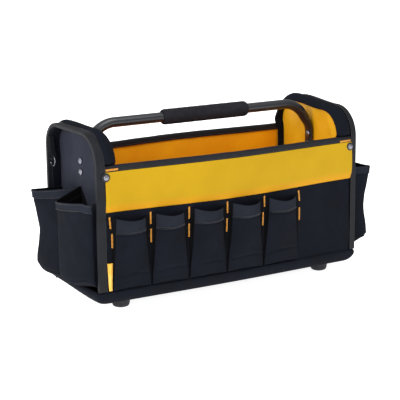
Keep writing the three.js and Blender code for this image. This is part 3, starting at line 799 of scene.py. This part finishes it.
class TOTE_OT_ends(bpy.types.Operator):
    """Makes the ends: rim bindings, padded hoops, cloth covered boards and their linings"""

    bl_idname = "tote.ends"
    bl_label = "Ends and hoops"

    def execute(self, context):
        seams = bmesh.new()
        floor = FLOOR + 0.2
        for name, side in SIDES:
            width = RIM_WIDTHS[side]

            def rim(u, v):
                across, height = pick(RIM_ROWS, v)
                point, out = dome(side, u, BASE_TOP + 0.3)
                spot = point + out * (height + 0.2 * ripple(point.x, side * 70, point.y, 30))
                inner = 11 / width if v > 0.6 else 1
                return Vector((side * (HALF - across * width * inner), spot.x, spot.y))

            tape = surface(150, 24, rim, (side, 0, 0))
            finish_piece(
                tape, f"rim_tape_{name}", "binding", [f"rim_binding_{name}"], cloth=1.1
            )
            sew(seams, [rim(k / 150, 0.11) for k in range(151)])

            def hoop(u, v):
                return hoop_point(side, u, v, floor)

            roll = surface(150, 48, hoop)
            finish_piece(roll, f"hoop_pad_{name}", "canvas", [f"hoop_{name}"])

            def board_relief(y, z):
                return 0.8 * ripple(y, side * 80, z, 60) + 0.9

            def lining_relief(y, z):
                total = 0.8 * ripple(y, side * 90, z, 45)
                for start, end, height, wide in LINING_FOLDS:
                    away, along = from_line(y, z, start, end)
                    total += height * bump(away, wide) * ease(along, -0.2, 0.3) * (1 - ease(along, 0.8, 1.4))
                return -total

            def board(u, v):
                return panel_point(side, BOARD_X, u, v, floor, board_relief, 9.4)

            def lining(u, v):
                return panel_point(side, LINING_X, u, v, floor, lining_relief, 11.4)

            # Painted shade: the board below the pockets' mouths takes the near black shade cloth, which
            # stands for the shade inside the pockets
            def shade_behind_pockets(u, v):
                spot = board(u, v)
                return 1 if spot.z < 190 - 1.2 * abs(spot.y) else 0

            sheet = surface(60, 60, board, (side, 0, 0), shade_behind_pockets)
            node = f"end_board_{name}"
            # The board takes the lighter canvas, which is painted light, and the painted shade cloth below
            # the pockets' mouths
            finish_piece(sheet, f"{node}_cloth", "board pleat", [node], cloth=2.8)
            sheet = surface(70, 70, lining, (-side, 0, 0))
            node = f"end_lining_{name}"
            finish_piece(sheet, f"{node}_cloth", "end_lining", [node], cloth=0.9)
        finish_piece(seams, "rim_stitches", "black_thread", levels=0)
        return {"FINISHED"}


# Front pockets

# Up a front pocket: shares of the gusset's depth and of the pleat at its edges
POCKET_ROWS = (
    (0.3, 0.04), (0.5, 0.16), (0.64, 0.34), (0.76, 0.54), (0.86, 0.7), (0.93, 0.84), (0.98, 0.94), (1.0, 1.0),
)
# From a pocket's seam to the edge of its panel, which hangs over the pleat: shares of the pleat and the depth
PLEAT_ROWS = ((0, 0.04), (0.35, 0.04), (0.75, 0.08), (1.16, 0.3), (1.14, 0.68), (1.0, 1.0))
# How much of a pocket's cloth is pleat at each edge, and how far up its hem starts, as shares
PLEAT = 0.13
HEM_FROM = 0.815
# How full each pocket is, and how far its mouth dips
POCKET_FILL = (0.82, 1.0, 1.05, 1.08, 1.0)
POCKET_DIP = (5.4, 5.4, 6.2, 5.6, 8.0)


# A pocket's materials are the canvas, the hem canvas and the painted shade cloth; every inner face takes the
# painted shade cloth, which stands for the shade inside the pocket
def finish_pocket(bm, node):
    finish_piece(bm, f"{node}_cloth", "canvas hem pleat", [node], cloth=1.8, inside=2)


def pocket_point(number, u, up):
    """A point of a front pocket's cloth: u across it from seam to seam, up from its bottom seam."""
    left = SEAMS[number] + 0.8
    right = SEAMS[number + 1] - 0.8
    depth, pleat = pick(POCKET_ROWS, up)
    depth *= sizes().pocket_depth / MM
    bulge = sizes().pocket_swell / MM * POCKET_FILL[number] * pick(POCKET_ROWS, up)[0]
    fold, tuck = 5 * pleat + 0.3, 12 * pleat + 0.3
    if u < PLEAT or u > 1 - PLEAT:
        share, stand = pick(PLEAT_ROWS, (u if u < PLEAT else 1 - u) / PLEAT)
        x = left + fold * share if u < PLEAT else right - tuck * share
        out = depth * stand
    else:
        k = (u - PLEAT) / (1 - 2 * PLEAT)
        x = mix(left + fold, right - tuck, k)
        out = depth + bulge * math.sin(math.pi * k) ** 0.85
    share = (x - left) / (right - left)
    arch = math.sin(math.pi * clamp(share))
    bottom = BASE_TOP + 0.5 + 3 * arch
    top = MOUTH + 3.5 * (1 - share) - POCKET_DIP[number] * arch
    z = mix(bottom, top, up)
    inside = ease(share, 0.03, 0.12) * (1 - ease(share, 0.88, 0.97))
    hem = HEM_LINE - 2 * arch
    out += inside * (1.3 * ease(z, hem - 0.3, hem + 1.2) - 1.0 * bump(z - hem + 1.4, 2.6))
    crease = 57 + 5 * math.sin(math.pi * share * 0.9)
    out += inside * (-1.5 * bump(z - crease, 2.8) + 0.7 * ease(z, crease - 1, crease + 7))
    out += inside * (0.9 * ripple(x, number * 15, z, 34) + 0.4 * ripple(x, number * 25 + 7, z, 14))
    return Vector((x, front(x, z, WALL_DEPTH - 0.5) - out, z))


class TOTE_OT_front_pockets(bpy.types.Operator):
    """Makes the five pockets along the front, with their hem stitching"""

    bl_idname = "tote.front_pockets"
    bl_label = "Front pockets"

    def execute(self, context):
        seams = bmesh.new()
        for number in range(len(SEAMS) - 1):

            def place(u, v):
                return pocket_point(number, u, v)

            # Painted shade: the pleats take the near black shade cloth, which stands for the shade in the
            # narrow gaps between the pockets; the hem takes the hem canvas
            def pleat_shade_and_hem(u, v):
                return 2 if min(u, 1 - u) < PLEAT * 0.9 else int(v > HEM_FROM)

            finish_pocket(surface(54, 64, place, (0, -1, 0), pleat_shade_and_hem), f"front_pocket_{number + 1}")
            for rise in (1.2, 3.2):
                line = []
                for k in range(41):
                    u = mix(PLEAT, 1 - PLEAT, k / 40)
                    low, high = pocket_point(number, u, 0), pocket_point(number, u, 1)
                    up = (HEM_LINE - 2 * math.sin(math.pi * u) + rise - low.z) / (high.z - low.z)
                    line.append(pocket_point(number, u, up) + Vector((0, -0.1, 0)))
                sew(seams, line, radius=0.3)
        finish_piece(seams, "pocket_stitches", "black_thread", levels=0)
        return {"FINISHED"}


# Each seam's two tacks: how far their tops and bottoms stand from the seam's line, and their heights
TACKS = (
    ((-2.0, 156), (-0.6, 137.5)), ((1.8, 129), (1.8, 106.5)),
    ((0, 156), (0, 136.5)), ((0.3, 128.5), (0.3, 106.5)),
    ((0.2, 156), (0, 136.5)), ((0, 128.5), (-0.2, 106.5)),
    ((-0.3, 156), (0.2, 137)), ((-0.6, 128), (-1.2, 106)),
    ((0.2, 156), (1.0, 138)), ((-1.6, 128.5), (-2.2, 106.5)),
    ((-1.8, 156), (0.4, 138)), ((0.4, 126.5), (0.4, 105)),
)


class TOTE_OT_tacks(bpy.types.Operator):
    """Makes the dense orange tacks between the pockets and on the top binding"""

    bl_idname = "tote.tacks"
    bl_label = "Orange tacks"

    def execute(self, context):
        bm = bmesh.new()

        def tack(start, end, wide, lift):
            """Threads side by side across the line from start to end, both in x and z."""
            a, b = Vector(start), Vector(end)
            along = (b - a).normalized()
            across = Vector((-along.y, along.x)) * wide / 2
            # One thread to a millimetre
            count = int((b - a).length)
            for k in range(count):
                spot = a.lerp(b, (k + 0.5) / count)
                lean = along * 0.35 * (1 if k % 2 else -1)
                ends = []
                for way in (-1, 1):
                    x, z = spot + (across + lean) * way
                    ends.append(Vector((x, front(x, z, lift), z)))
                stitch(bm, (ends[0] + ends[1]) / 2, ends[1] - ends[0], wide, 0.62)

        for k, (start, end) in enumerate(TACKS):
            seam = SEAMS[k // 2]
            tack((seam + start[0], start[1]), (seam + end[0], end[1]), 2.8, WALL_DEPTH - 0.9)
        tack((-HALF + 16, 230.4), (-HALF + 37, 230.8), 3.2, -0.4)
        tack((HALF - 35, 229.4), (HALF - 13, 229.8), 3.2, -0.4)
        finish_piece(bm, "orange_tacks", "orange_thread", levels=0)
        return {"FINISHED"}


# End pockets

# Up an end pocket: height as a share, reach from the board as a share where it hangs straight and where
# it is pinched at half height, and flare past the rim
END_ROWS = (
    (0.0, 0.0, 0.0, 0.0), (0.0, 0.5, 0.5, 0.0), (0.02, 0.76, 0.72, 0.2), (0.055, 0.92, 0.87, 0.5),
    (0.12, 0.965, 0.94, 0.6), (0.25, 0.975, 0.92, 0.5), (0.4, 0.98, 0.87, 0.35), (0.52, 0.985, 0.85, 0.3),
    (0.66, 0.99, 0.88, 0.45), (0.8, 0.995, 0.94, 0.7), (0.9, 1.0, 0.985, 0.9), (1.0, 1.0, 1.0, 1.0),
)
# How high the mouths stand and how far the pockets can reach out of each board
END_MOUTH = 173
END_REACH = {-1: 46, 1: 56}
# How far up an end pocket its hem starts, as a share
END_HEM = 0.915
# Reach at the tote's corner and at the divider, how much of it the divider gives up at the mouth, how far
# the mouth droops, how far it is pinched and how much higher its mouth is
END_POCKETS = {
    "left_front": (0.74, 1.06, 0.0, 1.0, 0.12, 5),
    "left_rear": (1.2, 1.02, 0.8, 0.0, 1.0, 4),
    "right_front": (1.1, 1.02, 0.15, 0.0, 1.0, 6),
    "right_rear": (0.94, 1.0, 0.0, 1.0, 0.5, 0),
}


def end_pocket_point(name, u, v):
    """A point of an end pocket's cloth, u round it from the board past the rim and back to the board."""
    side = -1 if name.startswith("left") else 1
    toward = -1 if name.endswith("front") else 1
    corner_share, divider_share, valley, droop, pinch, lift = END_POCKETS[name]
    up, straight, pinched, flare = pick(END_ROWS, v)
    reached = mix(straight, pinched, pinch)
    reach = END_REACH[side]
    board = BOARD_X + 0.3
    inset = 11.3
    edge = inset - FRONT if toward < 0 else REAR[side] - inset
    flared = edge + toward * 7 * flare
    middle = toward * 0.5
    turn_in = 1 - valley * up**2
    corner = board + reached * corner_share * reach
    divider = board + reached * divider_share * turn_in * reach
    turn = 6 * clamp(reached * 1.4)
    belly = 5 * reached
    plan = [
        Vector((board, edge)),
        Vector((min(HALF + 0.4, max(board, corner - turn - 1)), edge)),
        Vector((max(board, corner - turn), flared)),
        Vector((corner, flared - toward * turn)),
        Vector(((corner * 2 + divider) / 3 + belly * 0.7, (flared * 2 + middle) / 3)),
        Vector(((corner + divider * 2) / 3 + belly * 0.7, (flared + middle * 2) / 3)),
        Vector((divider, middle + toward * turn)),
        Vector((max(board, divider - turn), middle)),
        Vector((board, middle)),
    ]
    spot = rounded(plan, u)
    out = (spot.x - board) / reach
    free = max(0, 1 - abs(spot.y) / FRONT) * max(0, out)
    low = BASE_TOP + 0.6
    hung = 1 - ease(abs(spot.y - middle), abs(edge - middle) - 12, abs(edge - middle))
    z = low + up * (END_MOUTH + lift - low) + up * (12 * hung * (1 - out) - 7 * droop * free)
    z += 11 * ease(abs(spot.y), 40, 85) * (1 - up) ** 6 * clamp(out * 1.3)
    loose = ease(out, 0.1, 0.6)
    uneven = 1.6 * ripple(spot.y, side * 33, z, 48) + 0.7 * ripple(spot.y, side * 43, z, 19)
    x = spot.x + loose * uneven
    return Vector((side * x, spot.y, z))


def raised(place, u, v, height):
    """A point a height off a laid out surface, on the side away from the tote's middle."""
    step = 0.004
    point = place(u, v)
    along = place(min(1, u + step), v) - place(max(0, u - step), v)
    up = place(u, min(1, v + step)) - place(u, max(0, v - step))
    out = along.cross(up)
    if out.length < 1e-6:
        return point
    out.normalize()
    away = Vector((point.x, 0, 0))
    return point + out * (height if out.dot(away) > 0 else -height)


class TOTE_OT_end_pockets(bpy.types.Operator):
    """Makes the two pockets on each end, with folded hems and a seam round their bottoms"""

    bl_idname = "tote.end_pockets"
    bl_label = "End pockets"

    def execute(self, context):
        seams = bmesh.new()
        for name in END_POCKETS:
            side = -1 if name.startswith("left") else 1

            def bare(u, v):
                return end_pocket_point(name, u, v)

            def place(u, v):
                # A millimetre is a 140th of the pocket's height
                hem = ease(v, END_HEM - 0.01, END_HEM)
                groove = bump((v - END_HEM + 0.015) * 140, 1.6)
                seam = bump((v - 0.32) * 140, 2.4)
                return raised(bare, u, v, 1.2 * hem - 1.0 * groove - 1.2 * seam)

            def hemmed(u, v):
                return int(v > END_HEM)

            finish_pocket(surface(60, 84, place, (side, 0, 0), hemmed), f"end_pocket_{name}")
            for v in (0.918, 0.985):
                sew(seams, [raised(bare, k / 80, v, 1.3) for k in range(4, 77)], radius=0.3)
        finish_piece(seams, "end_pocket_stitches", "black_thread", levels=0)
        return {"FINISHED"}


# Handle

# The tube: the radius of its bends, its own radius, and where its legs stand and end
BEND = 50
TUBE_RADIUS = 8.4
LEG_FACE = HALF - 25.3
LEG_END = 200
# The flattened part of a leg: half its width and thickness, and the heights between which it turns round
LEG_WIDE = 10.4
LEG_THICK = 4
LEG_TURNS = (232, 262)


def tube_point(u, v):
    """A point of the handle: u along it from the left leg's end to the right one's, v round it."""
    side = -1 if u < 0.5 else 1
    t = 2 * (u if side < 0 else 1 - u)
    top = TUBE_TOP - TUBE_RADIUS
    start = top - BEND
    knots = (0.05, 0.32, 0.7, 1.0)
    turn = 0.0
    if t < knots[1]:
        z = mix(LEG_END, start, clamp((t - knots[0]) / (knots[1] - knots[0])))
        x = LEG_FACE - TUBE_RADIUS
    elif t < knots[2]:
        turn = (t - knots[1]) / (knots[2] - knots[1]) * math.pi / 2
        x = LEG_FACE - TUBE_RADIUS - BEND * (1 - math.cos(turn))
        z = start + BEND * math.sin(turn)
    else:
        turn = math.pi / 2
        x = mix(LEG_FACE - TUBE_RADIUS - BEND, 0, (t - knots[2]) / (1 - knots[2]))
        z = top
    round_share = ease(z, *LEG_TURNS)
    thick = mix(LEG_THICK, TUBE_RADIUS, round_share)
    wide = mix(LEG_WIDE, TUBE_RADIUS, round_share)
    if t < knots[0]:
        k = 1 - t / knots[0]
        wide *= math.sqrt(max(0, 1 - k**2))
        thick *= 1 if k < 1 else 0
        z = LEG_END + LEG_WIDE * (1 - k) if k else z
    out = Vector((side * math.cos(turn), 0, math.sin(turn)))
    angle = 2 * math.pi * v
    centre = Vector((side * x, 0, z)) + out * (TUBE_RADIUS - thick)
    return centre + out * thick * math.cos(angle) + Vector((0, wide * math.sin(angle), 0))


class TOTE_OT_handle(bpy.types.Operator):
    """Makes the tube handle with its flattened legs, and the foam grip"""

    bl_idname = "tote.handle"
    bl_label = "Handle and grip"

    def execute(self, context):
        tube = surface(220, 32, tube_point)
        finish_piece(tube, "handle_tube_coated", "tube", ["handle_tube"])
        low, high, centre = placed("foam_grip")
        half = (high.x - low.x) / 2
        radius = (high.z - low.z) / 2
        bore = TUBE_RADIUS + 0.1
        profile = [(bore, -half + 3), (bore, -half + 0.6), (bore + 0.8, -half), (radius - 3.2, -half)]
        profile += [(radius - 1, -half + 1.2), (radius, -half + 4.5)]
        profile += [(radius + 0.12 * math.sin(k * 1.9), mix(-half + 8, half - 8, k / 24)) for k in range(25)]
        profile += [(r, -along) for r, along in reversed(profile[:6])]
        grip = spun(profile, (1, 0, 0), (centre.x, centre.y, TUBE_TOP - TUBE_RADIUS), 48)
        finish_piece(grip, "foam_grip_sleeve", "foam", ["foam_grip"])
        return {"FINISHED"}


# Round a corner rivet's washer: radius, and distance in from its seat
WASHER = ((2.3, 0), (2.3, -0.6), (4.8, -0.8), (6.4, -0.5), (6.9, 0.2), (6.9, 1.6), (2.3, 1.6), (2.3, 0))


def rivet_profile(shank, head, grip, dome_height):
    """Down a rivet's outline from the top of its head to its far head."""
    near = [(0, -dome_height), (head * 0.35, -dome_height * 0.94), (head * 0.66, -dome_height * 0.72)]
    near += [(head * 0.88, -dome_height * 0.38), (head, -0.5), (head * 0.98, -0.1), (head * 0.9, 0)]
    near.append((shank, 0))
    return near + [(radius, grip - along) for radius, along in reversed(near)]


class TOTE_OT_rivets(bpy.types.Operator):
    """Makes the handle's rivets, and the corner rivets with their dark washers"""

    bl_idname = "tote.rivets"
    bl_label = "Rivets"

    def execute(self, context):
        for name, side in SIDES:
            for level in ("upper", "lower"):
                node = f"handle_rivet_{name}_{level}"
                low, high, centre = placed(node)
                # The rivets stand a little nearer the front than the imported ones
                centre.y -= 2.5
                rise = 2.3
                grip = high.x - low.x - 2 * rise
                start = Vector((centre.x - side * grip / 2, centre.y, centre.z))
                body = spun(rivet_profile(2.5, (high.z - low.z) / 2, grip, rise), (side, 0, 0), start, 28)
                finish_piece(body, f"{node}_steel", "rivet", [node], levels=0)
            node = f"corner_rivet_{name}"
            low, high, centre = placed(node)
            rise = 1.9
            start = Vector((centre.x, low.y + rise - 1.2, centre.z))
            grip = high.y - low.y - 2 * rise + 1.2
            body = spun(rivet_profile(2.0, 4.4, grip, rise), (0, 1, 0), start, 28)
            finish_piece(body, f"{node}_steel", "rivet", [node], levels=0)
            node = f"corner_washer_{name}"
            body = spun(WASHER, (0, 1, 0), (centre.x, placed(node)[0].y - 0.6, centre.z), 32)
            finish_piece(body, f"{node}_plastic", "washer", [node], levels=0)
        return {"FINISHED"}


class TOTE_OT_tab(bpy.types.Operator):
    """Makes the bare folded tab at the front left corner"""

    bl_idname = "tote.tab"
    bl_label = "Corner tab"

    def execute(self, context):
        low, high, _ = placed("label_tab")
        taper = 1.8
        left, right = low.x + taper, high.x + taper

        def place(u, v):
            z = mix(low.z, high.z, v)
            narrow = taper * (1 - v)
            x = mix(left + narrow, right - narrow, u)
            fold = 1.3 * bump(u - 0.62 + 0.2 * (1 - v), 0.2) + 0.8 * math.sin(math.pi * u)
            fold += 1.6 * (1 - ease(v, 0, 0.1))
            return Vector((x, front(x, z, -1.4) - fold * ease(v, -0.05, 0.12), z))

        tab = surface(12, 34, place, (0, -1, 0))
        finish_piece(tab, "label_tab_cloth", "tab", ["label_tab"], cloth=1.6)
        return {"FINISHED"}


class TOTE_OT_loop(bpy.types.Operator):
    """Makes the webbing loop in the left end's rear corner, and the ring that hangs in it"""

    bl_idname = "tote.loop"
    bl_label = "Loop and ring"

    def execute(self, context):
        low, high, _ = placed("clip_loop")
        seat, out = high.y, low.y
        ring_low, ring_high, centre = placed("clip_ring")
        wire = 1.15
        eye = ring_high.z - wire
        route = [
            Vector((seat - 0.8, high.z + 16)),
            Vector((seat - 0.8, eye + 8)),
            Vector((seat - 1.0, eye + 2)),
            Vector((seat - 1.2, eye - 4.2)),
            Vector((centre.y - 0.6, eye - 5.0)),
            Vector((out + 0.4, eye - 3.8)),
            Vector((out + 0.6, eye + 3)),
            Vector((seat - 3.4, eye + 8)),
            Vector((seat - 2.2, high.z + 14)),
        ]

        def strap(u, v):
            spot = rounded(route, v)
            return Vector((mix(low.x, high.x, u), spot.x, spot.y))

        loop = surface(8, 70, strap, (0, -1, 0))
        finish_piece(loop, "clip_loop_webbing", "binding", ["clip_loop"], cloth=1.1)
        radius = (ring_high.z - ring_low.z) / 2 - wire

        def torus(u, v):
            turn, round_wire = 2 * math.pi * u, 2 * math.pi * v
            reach = radius + wire * math.cos(round_wire)
            way = Vector((0, math.cos(turn), math.sin(turn)))
            return centre + way * reach + Vector((wire * math.sin(round_wire), 0, 0))

        ring = surface(48, 12, torus)
        finish_piece(ring, "clip_ring_steel", "ring", ["clip_ring"], levels=0)
        return {"FINISHED"}


# The way to the light side of the surround
LIGHT_SIDE = (-0.78, -0.1, 0.62)
# Each square light: its share of the key light's power, and where it stands
LIGHTS = (("key", 1.0, (-2.1, -0.6, 1.0)), ("top", 0.7, (0.2, -0.9, 2.0)))
LIGHT_SIZE = 1.2
LIGHT_AIM = Vector((0, 0, 0.14))
# The camera that was fitted to the photo: its turns in degrees, what it looks at and how far off it stands
YAW, PITCH, ROLL = -31.464, 12.604, -0.602
LOOK_AT = Vector((-5.753, 0, 137.662))
CAMERA_AWAY = 2.2688
LENS = 120.65


class TOTE_OT_stage(bpy.types.Operator):
    """Makes the floor, the light and the camera"""

    bl_idname = "tote.stage"
    bl_label = "Stage"

    def execute(self, context):
        scene = context.scene
        settings = scene.tote_stage
        bm = bmesh.new()
        bmesh.ops.create_grid(bm, x_segments=1, y_segments=1, size=40)
        mesh = bpy.data.meshes.new("floor")
        bm.to_mesh(mesh)
        bm.free()
        paper, _, shader = new_material("white_paper", roughness=0.9, specular_ior_level=0.1)
        shader.inputs["Base Color"].default_value = [*settings.paper, 1.0]
        shader.inputs["Emission Color"].default_value = (1, 1, 1, 1)
        shader.inputs["Emission Strength"].default_value = settings.glow
        mesh.materials.append(paper)
        floor = bpy.data.objects.new("floor", mesh)
        scene.collection.objects.link(floor)
        world = bpy.data.worlds.new("surround")
        world.use_nodes = True
        tree = world.node_tree
        around = add_node(tree, "TexCoord").outputs["Generated"]
        aside = add_node(tree, "VectorMath", {0: around, 1: LIGHT_SIDE}, operation="DOT_PRODUCT")
        limits = {"From Min": -1.0, "To Min": 0.2, "To Max": settings.sky}
        glow = add_node(tree, "MapRange", {"Value": aside.outputs["Value"], **limits})
        background = tree.nodes["Background"]
        background.inputs["Color"].default_value = (1, 1, 1, 1)
        tree.links.new(glow.outputs["Result"], background.inputs["Strength"])
        scene.world = world
        scene.view_settings.view_transform = "Standard"
        for name, share, place in LIGHTS:
            data = bpy.data.lights.new(name, "AREA")
            data.energy = settings.key_power * share
            data.size = LIGHT_SIZE
            light = bpy.data.objects.new(name, data)
            light.location = place
            light.rotation_euler = (LIGHT_AIM - Vector(place)).to_track_quat("-Z", "Y").to_euler()
            scene.collection.objects.link(light)
        camera = bpy.data.objects.new("camera", bpy.data.cameras.new("camera"))
        camera.data.sensor_fit = "HORIZONTAL"
        camera.data.sensor_width = 36
        camera.data.lens = LENS
        yaw, pitch, roll = (math.radians(angle) for angle in (YAW, PITCH, ROLL))
        target = (LOOK_AT + MIDDLE) * MM
        back = Vector((math.sin(yaw) * math.cos(pitch), -math.cos(yaw) * math.cos(pitch), math.sin(pitch)))
        right = Vector((math.cos(yaw), math.sin(yaw), 0))
        up = back.cross(right)
        across = math.cos(roll) * right + math.sin(roll) * up
        above = -math.sin(roll) * right + math.cos(roll) * up
        turn = Matrix((across, above, back)).transposed().to_4x4()
        camera.matrix_world = Matrix.Translation(target + back * CAMERA_AWAY) @ turn
        scene.collection.objects.link(camera)
        scene.camera = camera
        return {"FINISHED"}


OPERATORS = (
    TOTE_OT_stage,
    TOTE_OT_base,
    TOTE_OT_walls,
    TOTE_OT_bindings,
    TOTE_OT_band,
    TOTE_OT_ends,
    TOTE_OT_front_pockets,
    TOTE_OT_tacks,
    TOTE_OT_end_pockets,
    TOTE_OT_handle,
    TOTE_OT_rivets,
    TOTE_OT_tab,
    TOTE_OT_loop,
)


class TOTE_PT_panel(bpy.types.Panel):
    """Lists the tote's pieces in the sidebar"""

    bl_idname = "TOTE_PT_panel"
    bl_label = "Tool tote"
    bl_space_type = "VIEW_3D"
    bl_region_type = "UI"
    bl_category = "Tote"

    def draw(self, context):
        for group in (context.scene.tote_sizes, context.scene.tote_stage):
            for key in group.__annotations__:
                self.layout.prop(group, key)
        for operator in OPERATORS:
            self.layout.operator(operator.bl_idname)


CLASSES = (ToteSizes, ToteStage, *OPERATORS, TOTE_PT_panel)


def register():
    for cls in CLASSES:
        bpy.utils.register_class(cls)
    bpy.types.Scene.tote_sizes = bpy.props.PointerProperty(type=ToteSizes)
    bpy.types.Scene.tote_stage = bpy.props.PointerProperty(type=ToteStage)


def unregister():
    del bpy.types.Scene.tote_stage
    del bpy.types.Scene.tote_sizes
    for cls in reversed(CLASSES):
        bpy.utils.unregister_class(cls)


def main():
    register()
    for operator in OPERATORS:
        group, name = operator.bl_idname.split(".")
        getattr(getattr(bpy.ops, group), name)()


if __name__ == "__main__":
    main()
